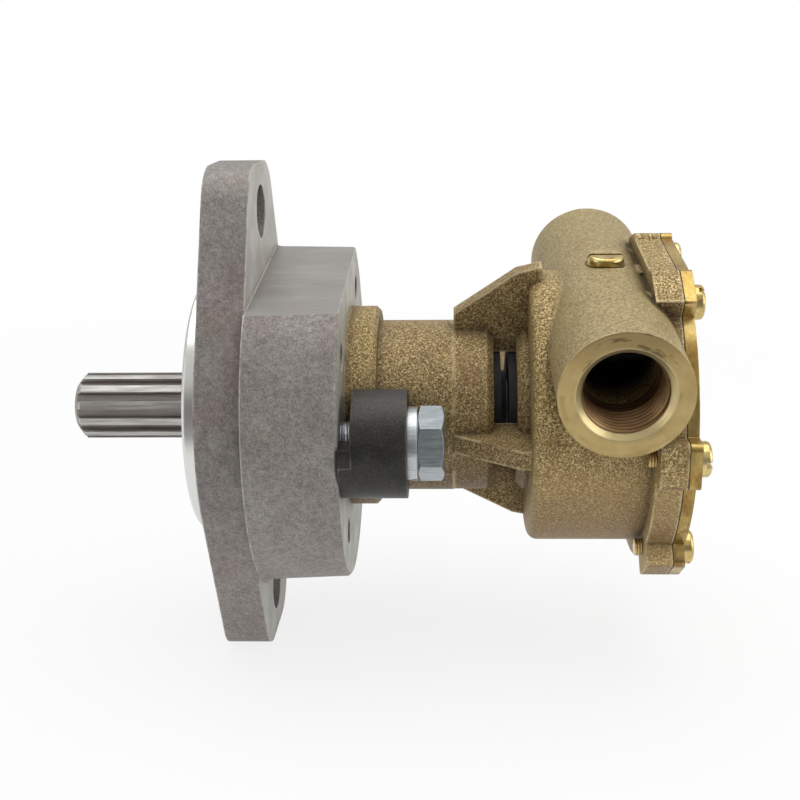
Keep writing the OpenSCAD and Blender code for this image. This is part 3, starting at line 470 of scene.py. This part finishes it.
def black_steel(name, wear):
    s = Shader(name)
    oxide = s.noise(0.006, 4, 0.6)
    grain = s.noise(0.0005, 2, 0.65)
    base = s.ramp(oxide, [(0.32, srgb(36, 35, 33)), (0.5, srgb(43, 42, 39)),
                          (0.68, srgb(54, 51, 47))])
    dust = s.step(s.split(s.normal)[2], 0.3, 0.95)
    base = s.mix(s.times(dust, 0.4), base, srgb(60, 54, 48))
    base = s.mix(0.8, base, s.ramp(grain, [(0.32, 0.25), (0.5, 0.5), (0.68, 0.75)]), "OVERLAY")
    # Edges made lighter, partly wear and partly a painted highlight
    wear_and_highlight = s.times(s.edges(0.0011), s.step(s.noise(0.003, 3), 0.3, 0.55))
    base = s.mix(s.times(wear_and_highlight, wear), base, srgb(150, 144, 134))
    s.set(base=base, metallic=0.45, rough=s.mixf(oxide, 0.36, 0.52),
          normal=s.bump(grain, 0.00012, 0.7, base=s.bevel(0.0007)))
    return s.mat


def zinc_steel(name, low, high, dusty):
    """Zinc plate between two tints, with dust on upward faces to the share dusty."""
    s = Shader(name)
    lines = s.noise(0.0006, 3, 0.65, at=s.scaled(s.place, (0.12, 0.12, 1.4)))
    base = s.mix(s.noise(0.005, 4, 0.6), low, high)
    dust = s.step(s.split(s.normal)[2], 0.3, 0.8)
    base = s.mix(s.times(dust, dusty), base, srgb(92, 97, 99))
    base = s.mix(0.45, base, s.ramp(lines, [(0.34, 0.3), (0.5, 0.5), (0.66, 0.72)]), "OVERLAY")
    # Painted highlight: near white along the sharp edges
    base = s.mix(s.times(s.edges(0.001), 0.6), base, srgb(226, 230, 232))
    s.set(base=base, metallic=0.85, rough=0.3,
          normal=s.bump(lines, 0.00009, 0.8, base=s.bevel(0.0005)))
    return s.mat


def black_rubber():
    s = Shader("black_rubber")
    dust = s.noise(0.008, 3, 0.6)
    base = s.mix(s.step(dust, 0.45, 0.75), srgb(26, 26, 27), srgb(52, 51, 50))
    s.set(base=base, rough=s.mixf(dust, 0.5, 0.72), specular=0.35,
          normal=s.bump(s.noise(0.0006, 2, 0.6), 0.00008, 0.7))
    return s.mat


def gasket_paper():
    s = Shader("gasket_paper")
    fibre = s.noise(0.0006, 3, 0.7, at=s.scaled(s.place, (1, 0.3, 1)))
    base = s.mix(fibre, srgb(40, 32, 24), srgb(74, 60, 44))
    s.set(base=base, rough=0.85, normal=s.bump(fibre, 0.00006, 0.8))
    return s.mat


MATS = {
    "aluminium": cast_aluminium(),
    "body": cast_bronze("cast_bronze", True),
    "housing": cast_bronze("housing_bronze", False),
    "brass": yellow_brass(),
    "screw": screw_brass(),
    "spline": spline_steel(),
    "bearing": bearing_steel("bearing_steel", srgb(206, 208, 210), 0.18),
    "clip": bearing_steel("clip_steel", srgb(96, 96, 98), 0.4),
    "cage": bearing_steel("cage_brass", srgb(204, 176, 108), 0.3),
    "black": black_steel("black_steel", 0.4),
    "foot": black_steel("clamp_foot", 0.0),
    "zinc": zinc_steel("zinc_bolt", srgb(138, 146, 150), srgb(178, 185, 188), 0.6),
    "washer": zinc_steel("zinc_washer", srgb(168, 172, 174), srgb(206, 210, 210), 0.0),
    "rubber": black_rubber(),
    "gasket": gasket_paper(),
    "port_thread": thread_metal("port_thread", srgb(112, 82, 54), srgb(156, 124, 84), 0.34),
    "bolt_thread": thread_metal("bolt_thread", srgb(120, 124, 128), srgb(176, 180, 184), 0.3),
    "brass_thread": thread_metal("brass_thread", srgb(170, 138, 76), srgb(216, 190, 126), 0.3),
}

WEARS = {
    "adapter_flange": "aluminium", "bearing_housing": "housing", "nose_o_ring": "rubber",
    "nose_oil_seal": "rubber", "front_outer_race": "bearing", "front_inner_race": "bearing",
    "front_balls": "bearing", "front_cage": "cage", "bearing_spacer": "bearing",
    "rear_outer_race": "bearing", "rear_inner_race": "bearing", "rear_balls": "bearing",
    "rear_cage": "cage", "housing_circlip": "clip", "shaft_circlip": "clip",
    "tail_oil_seal": "rubber", "drive_shaft": "spline", "slinger_ring": "rubber",
    "pump_body": "body", "water_seal": "rubber", "wear_plate": "brass", "cam_plate": "brass",
    "cam_screw": "screw", "impeller_insert": "brass", "impeller_rubber": "rubber",
    "impeller_key": "bearing", "cover_gasket": "gasket", "end_cover": "brass",
    "cover_screws": "screw", "near_clamp": "black", "far_clamp": "black",
    "clamp_bolts": "zinc", "clamp_washers": "washer",
}
for name, wear in WEARS.items():
    obj = NODES[name]
    if not obj.material_slots:
        obj.data.materials.append(MATS[wear])
    for place in obj.material_slots:
        place.material = MATS[wear]


# ---------------------------------------------------------------- pieces built here


def new_object(name, bm, mat):
    """A flat shaded object from bm, which is freed."""
    mesh = bpy.data.meshes.new(name)
    bm.to_mesh(mesh)
    bm.free()
    mesh.materials.append(mat)
    obj = bpy.data.objects.new(name, mesh)
    bpy.context.scene.collection.objects.link(obj)
    return obj


def add_rings(bm, rings):
    """Skins a row of point rings, with both ends filled."""
    rows = [[bm.verts.new(p) for p in ring] for ring in rings]
    for a, b in zip(rows, rows[1:]):
        for k in range(len(a)):
            bm.faces.new((a[k], a[(k + 1) % len(a)], b[(k + 1) % len(a)], b[k]))
    bm.faces.new(rows[0][::-1])
    bm.faces.new(rows[-1])


def helix(name, mat, place, root_r, crest_r, start, end, pitch, per_turn):
    """A screw thread's ridge as a closed spiral bar about the local Z axis, with tapered ends.

    place takes local points to the model's frame. root_r is on the metal's side, and the bar
    is sunk a little below it."""
    turns = (end - start) / pitch
    count = int(turns * per_turn)
    sunk = root_r - math.copysign(0.05 * MM, crest_r - root_r)
    half, tip = pitch * 0.44, pitch * 0.08
    rings = []
    for i in range(count + 1):
        t = i / count
        a = 2 * math.pi * turns * t
        z = start + (end - start) * t
        grow = min(1.0, t * turns * 2.0, (1 - t) * turns * 2.0)
        crest = root_r + (crest_r - root_r) * max(grow, 0.02)
        profile = [(sunk, -half), (crest, -tip), (crest, tip), (sunk, half)]
        rings.append([place @ Vector((r * math.cos(a), r * math.sin(a), z + dz))
                      for r, dz in profile])
    bm = bmesh.new()
    add_rings(bm, rings)
    bmesh.ops.recalc_face_normals(bm, faces=bm.faces)
    return new_object(name, bm, mat)


def along(point, axis):
    """A matrix whose local Z runs along axis from point."""
    return Matrix.Translation(point) @ Vector(axis).to_track_quat("Z", "Y").to_matrix().to_4x4()


def loose_parts(name):
    """The separate solids of the node called name, each as a list of its points."""
    bm = bmesh.new()
    bm.from_mesh(NODES[name].data)
    bmesh.ops.remove_doubles(bm, verts=bm.verts, dist=1e-6)
    seen, parts = set(), []
    for v in bm.verts:
        if v in seen:
            continue
        points, stack = [], [v]
        seen.add(v)
        while stack:
            w = stack.pop()
            points.append(w.co.copy())
            for edge in w.link_edges:
                u = edge.other_vert(w)
                if u not in seen:
                    seen.add(u)
                    stack.append(u)
        parts.append(points)
    bm.free()
    return parts


def axis_of(points):
    """The (y, z) of a screw's axis, from the points at its tip."""
    tip = min(p.x for p in points)
    ring = [p for p in points if p.x < tip + 0.5 * MM]
    ys, zs = [p.y for p in ring], [p.z for p in ring]
    return (min(ys) + max(ys)) / 2, (min(zs) + max(zs)) / 2


# Pipe threads in both ports, between two distances from the tubes' middle
THREAD_START, THREAD_END = 51.6 * MM, 68.2 * MM
THREAD_DEPTH, THREAD_PITCH = 0.75 * MM, 2.31 * MM
for label in ("near", "far"):
    place = along(PUMP @ Vector((PORT_X, 0, PORT_H)), mounts[label + "_port"]["axis"])
    thread = helix(label + "_port_thread", MATS["port_thread"], place, THREAD_R,
                   THREAD_R - THREAD_DEPTH, THREAD_START, THREAD_END, THREAD_PITCH, per_turn=96)
    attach(thread, "housing")

# Clamp bolts, with a flat of each hexagon towards its own side, a washer face under the head
# and a turned end
block_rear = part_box("adapter_flange")[1][0]
clamp_front = block_rear + 4.5 * MM
bolts = bmesh.new()
STEPS = 72
NEAR_TURN, FAR_TURN = 9.4, 201  # of each head's first flat, in degrees
WASHER_FACE, TOP_FACE = 0.94, 0.95  # radii, as a share of the flats' distance from the axis
CHAMFER = 1.2 * MM
for k, points in enumerate(loose_parts("clamp_bolts")):
    y, z = axis_of(points)
    tip, end = min(p.x for p in points), max(p.x for p in points)
    reach = [(p.x, math.hypot(p.y - y, p.z - z)) for p in points]
    shank_r = max(r for x, r in reach if x < tip + MM)
    corner_r = max(r for x, r in reach)
    head = min(x for x, r in reach if r > shank_r + MM)
    flat_r = corner_r * math.cos(math.pi / 6)
    facing = math.pi / 2 + math.radians(NEAR_TURN if y < 0 else FAR_TURN)
    bore_r = shank_r - 0.02 * MM

    def ring(x_of, r_of):
        """Points round the axis. x_of and r_of take the hexagon's own radius at each point."""
        out = []
        for i in range(STEPS):
            t = 2 * math.pi * i / STEPS
            hexagon = flat_r / math.cos((t + math.pi / 6) % (math.pi / 3) - math.pi / 6)
            r = r_of(hexagon)
            a = t + facing
            out.append((x_of(hexagon), y - r * math.sin(a), z - r * math.cos(a)))
        return out

    top_r, face_r = flat_r * TOP_FACE, flat_r * WASHER_FACE
    under = head + 0.5 * MM
    rise = math.tan(math.radians(28))
    add_rings(bolts, [
        ring(lambda h: tip, lambda h: bore_r - CHAMFER),
        ring(lambda h: tip + CHAMFER, lambda h: bore_r),
        ring(lambda h: head, lambda h: bore_r),
        ring(lambda h: head, lambda h: face_r),
        ring(lambda h: under, lambda h: face_r),
        ring(lambda h: under + (h - flat_r) * 0.35, lambda h: h),
        ring(lambda h: end - (h - top_r) * rise, lambda h: h),
        ring(lambda h: end, lambda h: top_r),
        ring(lambda h: end - 0.25 * MM, lambda h: top_r * 0.9)])
    thread = helix("clamp_bolt_thread_%d" % (k + 1), MATS["bolt_thread"],
                   along((0, y, z), (1, 0, 0)), bore_r, shank_r + 0.2 * MM,
                   block_rear + 0.3 * MM, clamp_front - 0.1 * MM, 2 * MM, per_turn=48)
    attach(thread, "housing")
bmesh.ops.recalc_face_normals(bolts, faces=bolts.faces)
clamp_bolts = new_object("clamp_bolt_pair", bolts, MATS["zinc"])
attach(clamp_bolts, "housing")
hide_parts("clamp_bolts")

# Upper part of each clamp's foot, on both sides of its bolt, as slices of a ring
SLICES = 6
BOLT_SIDE, OUTER_SIDE, INNER_SIDE = 8.4 * MM, 19.9 * MM, 14.0 * MM  # radii about the bolt
for side, points in enumerate(sorted(loose_parts("clamp_bolts"), key=lambda p: p[0].y)):
    y, z = axis_of(points)
    out_y = -1 if y < 0 else 1
    foot = bmesh.new()
    low, high = -3.2 * MM, 3.4 * MM
    for outer, way in ((OUTER_SIDE, 1), (INNER_SIDE, -1)):
        walls = []
        for r, order in ((outer, range(SLICES + 1)), (BOLT_SIDE, range(SLICES, -1, -1))):
            for i in order:
                v = low + (high - low) * i / SLICES
                walls.append((way * math.sqrt(r * r - v * v), v))
        add_rings(foot, [[(x, y + out_y * w, z - out_y * v) for w, v in walls]
                         for x in (block_rear + 0.03 * MM, clamp_front + 0.2 * MM)])
    bmesh.ops.recalc_face_normals(foot, faces=foot.faces)
    foot = new_object("clamp_foot_%d" % (side + 1), foot, MATS["foot"])
    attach(foot, "housing")

# Threads on the cover screws' tips
for k, points in enumerate(loose_parts("cover_screws")):
    y, z = axis_of(points)
    tip = min(p.x for p in points)
    thread = helix("cover_screw_thread_%d" % (k + 1), MATS["brass_thread"],
                   along((0, y, z), (1, 0, 0)), 3.0 * MM, 3.2 * MM, tip + 0.2 * MM,
                   tip + 3.1 * MM, 1 * MM, per_turn=36)
    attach(thread, "housing")

# ---------------------------------------------------------------- studio

FLOOR = 12.0
floor_mesh = bpy.data.meshes.new("floor")
floor_mesh.from_pydata([(-FLOOR, -FLOOR, 0), (FLOOR, -FLOOR, 0), (FLOOR, FLOOR, 0),
                        (-FLOOR, FLOOR, 0)], [], [(0, 1, 2, 3)])
floor = bpy.data.objects.new("floor", floor_mesh)
bpy.context.scene.collection.objects.link(floor)
floor.location = (0, 0, cad_box[0][2] - 0.2 * MM)

floor_mat = bpy.data.materials.new("studio_floor")
floor_mat.use_nodes = True
tree = floor_mat.node_tree
tree.nodes.clear()
ray = node(tree, "LightPath").outputs
spot = node(tree, "TexCoord").outputs["Object"]
# Shadow is kept near the object and fades out into the white room
seen = node(tree, "Math", {0: ray["Is Camera Ray"], 1: ray["Is Glossy Ray"]}, operation="MAXIMUM")
length = node(tree, "VectorMath", {0: spot}, operation="LENGTH").outputs["Value"]
share = node(tree, "Math", {0: seen.outputs[0], 1: smooth_step(tree, length, 0.25, 0.9, 0.82, 1.0)},
             operation="MULTIPLY")
# Metal mirrors a darker floor on the near side, where the room is dark
side = node(tree, "SeparateXYZ", {0: spot}).outputs[1]
glow = node(tree, "Math", {0: smooth_step(tree, side, -0.42, -0.2, 0.3, 1.0),
                           1: ray["Is Camera Ray"]}, operation="MAXIMUM")
white = node(tree, "Emission", {0: (1, 1, 1, 1), 1: glow.outputs[0]})
paint = node(tree, "BsdfDiffuse", {0: (0.82, 0.82, 0.82, 1)})
blend = node(tree, "MixShader", {0: share.outputs[0], 1: paint.outputs[0], 2: white.outputs[0]})
node(tree, "OutputMaterial", {0: blend.outputs[0]})
floor_mesh.materials.append(floor_mat)

world = bpy.data.worlds.new("studio")
bpy.context.scene.world = world
world.use_nodes = True
tree = world.node_tree
tree.nodes.clear()
ray = node(tree, "LightPath").outputs
way = node(tree, "SeparateXYZ", {0: node(tree, "TexCoord").outputs["Generated"]}).outputs
# Metal sees the white room, with a dark part at eye height on the near side
front = smooth_step(tree, way[1], -0.85, -0.2, 1.0, 0.0)
eye = smooth_step(tree, way[2], 0.28, 0.62, 1.0, 0.0)
dark = node(tree, "Math", {0: front, 1: eye}, operation="MULTIPLY")
room = node(tree, "Mix", {0: dark.outputs[0], 6: (0.68, 0.68, 0.67, 1),
                          7: (0.22, 0.215, 0.21, 1)}, data_type="RGBA")
mirrored = node(tree, "Background", {0: room.outputs[2]})
even = node(tree, "Background", {0: (0.54, 0.54, 0.535, 1)})
sky = node(tree, "Background", {0: (1, 1, 1, 1)})
lit = node(tree, "MixShader", {0: ray["Is Glossy Ray"], 1: even.outputs[0],
                               2: mirrored.outputs[0]})
shown = node(tree, "MixShader", {0: ray["Is Camera Ray"], 1: lit.outputs[0], 2: sky.outputs[0]})
node(tree, "OutputWorld", {0: shown.outputs[0]})


def soft_box(name, place, target, size, watts):
    data = bpy.data.lights.new(name, "AREA")
    data.shape = "RECTANGLE"
    data.size, data.size_y = size
    data.energy = watts
    obj = bpy.data.objects.new(name, data)
    bpy.context.scene.collection.objects.link(obj)
    obj.location = place
    obj.rotation_mode = "QUATERNION"
    obj.rotation_quaternion = (Vector(target) - Vector(place)).to_track_quat("-Z", "Y")


AIM = (0.07, 0, 0)
soft_box("top_box", (0.1, 0.1, 1.0), AIM, (1.3, 1.0), 8.5)
soft_box("right_box", (1.0, -0.3, 0.35), AIM, (0.8, 0.8), 4.0)
soft_box("left_box", (-0.9, -0.35, 0.2), AIM, (0.6, 0.9), 1.8)

# ---------------------------------------------------------------- camera

PICTURE, SENSOR = 800, 36.0  # the picture's width in pixels and in the camera's millimetres
FOCAL, AZ, EL, ROLL = 1196.725, 2.051, 14.182, -0.708  # pixels and degrees, as fitted
DISTANCE, AIM_X, AIM_Z = 0.482001, 0.07549, 0.013771
CENTRE_X, CENTRE_Y = 411.241, 371.376
a, e, r = (math.radians(v) for v in (AZ, EL, ROLL))
back = Vector((math.sin(a) * math.cos(e), -math.cos(a) * math.cos(e), math.sin(e)))
level_right = Vector((math.cos(a), math.sin(a), 0))
level_up = back.cross(level_right)
right = level_right * math.cos(r) + level_up * math.sin(r)
up = level_up * math.cos(r) - level_right * math.sin(r)
cam_data = bpy.data.cameras.new("camera")
cam = bpy.data.objects.new("camera", cam_data)
bpy.context.scene.collection.objects.link(cam)
turn = Matrix((right, up, back)).transposed().to_4x4()
cam.matrix_world = Matrix.Translation(Vector((AIM_X, 0, AIM_Z)) + back * DISTANCE) @ turn
cam_data.sensor_width = SENSOR
cam_data.lens = FOCAL * SENSOR / PICTURE
cam_data.shift_x = (PICTURE / 2 - CENTRE_X) / PICTURE
cam_data.shift_y = (CENTRE_Y - PICTURE / 2) / PICTURE
cam_data.clip_start, cam_data.clip_end = 0.01, 50
bpy.context.scene.camera = cam
bpy.context.scene.view_settings.view_transform = "Standard"
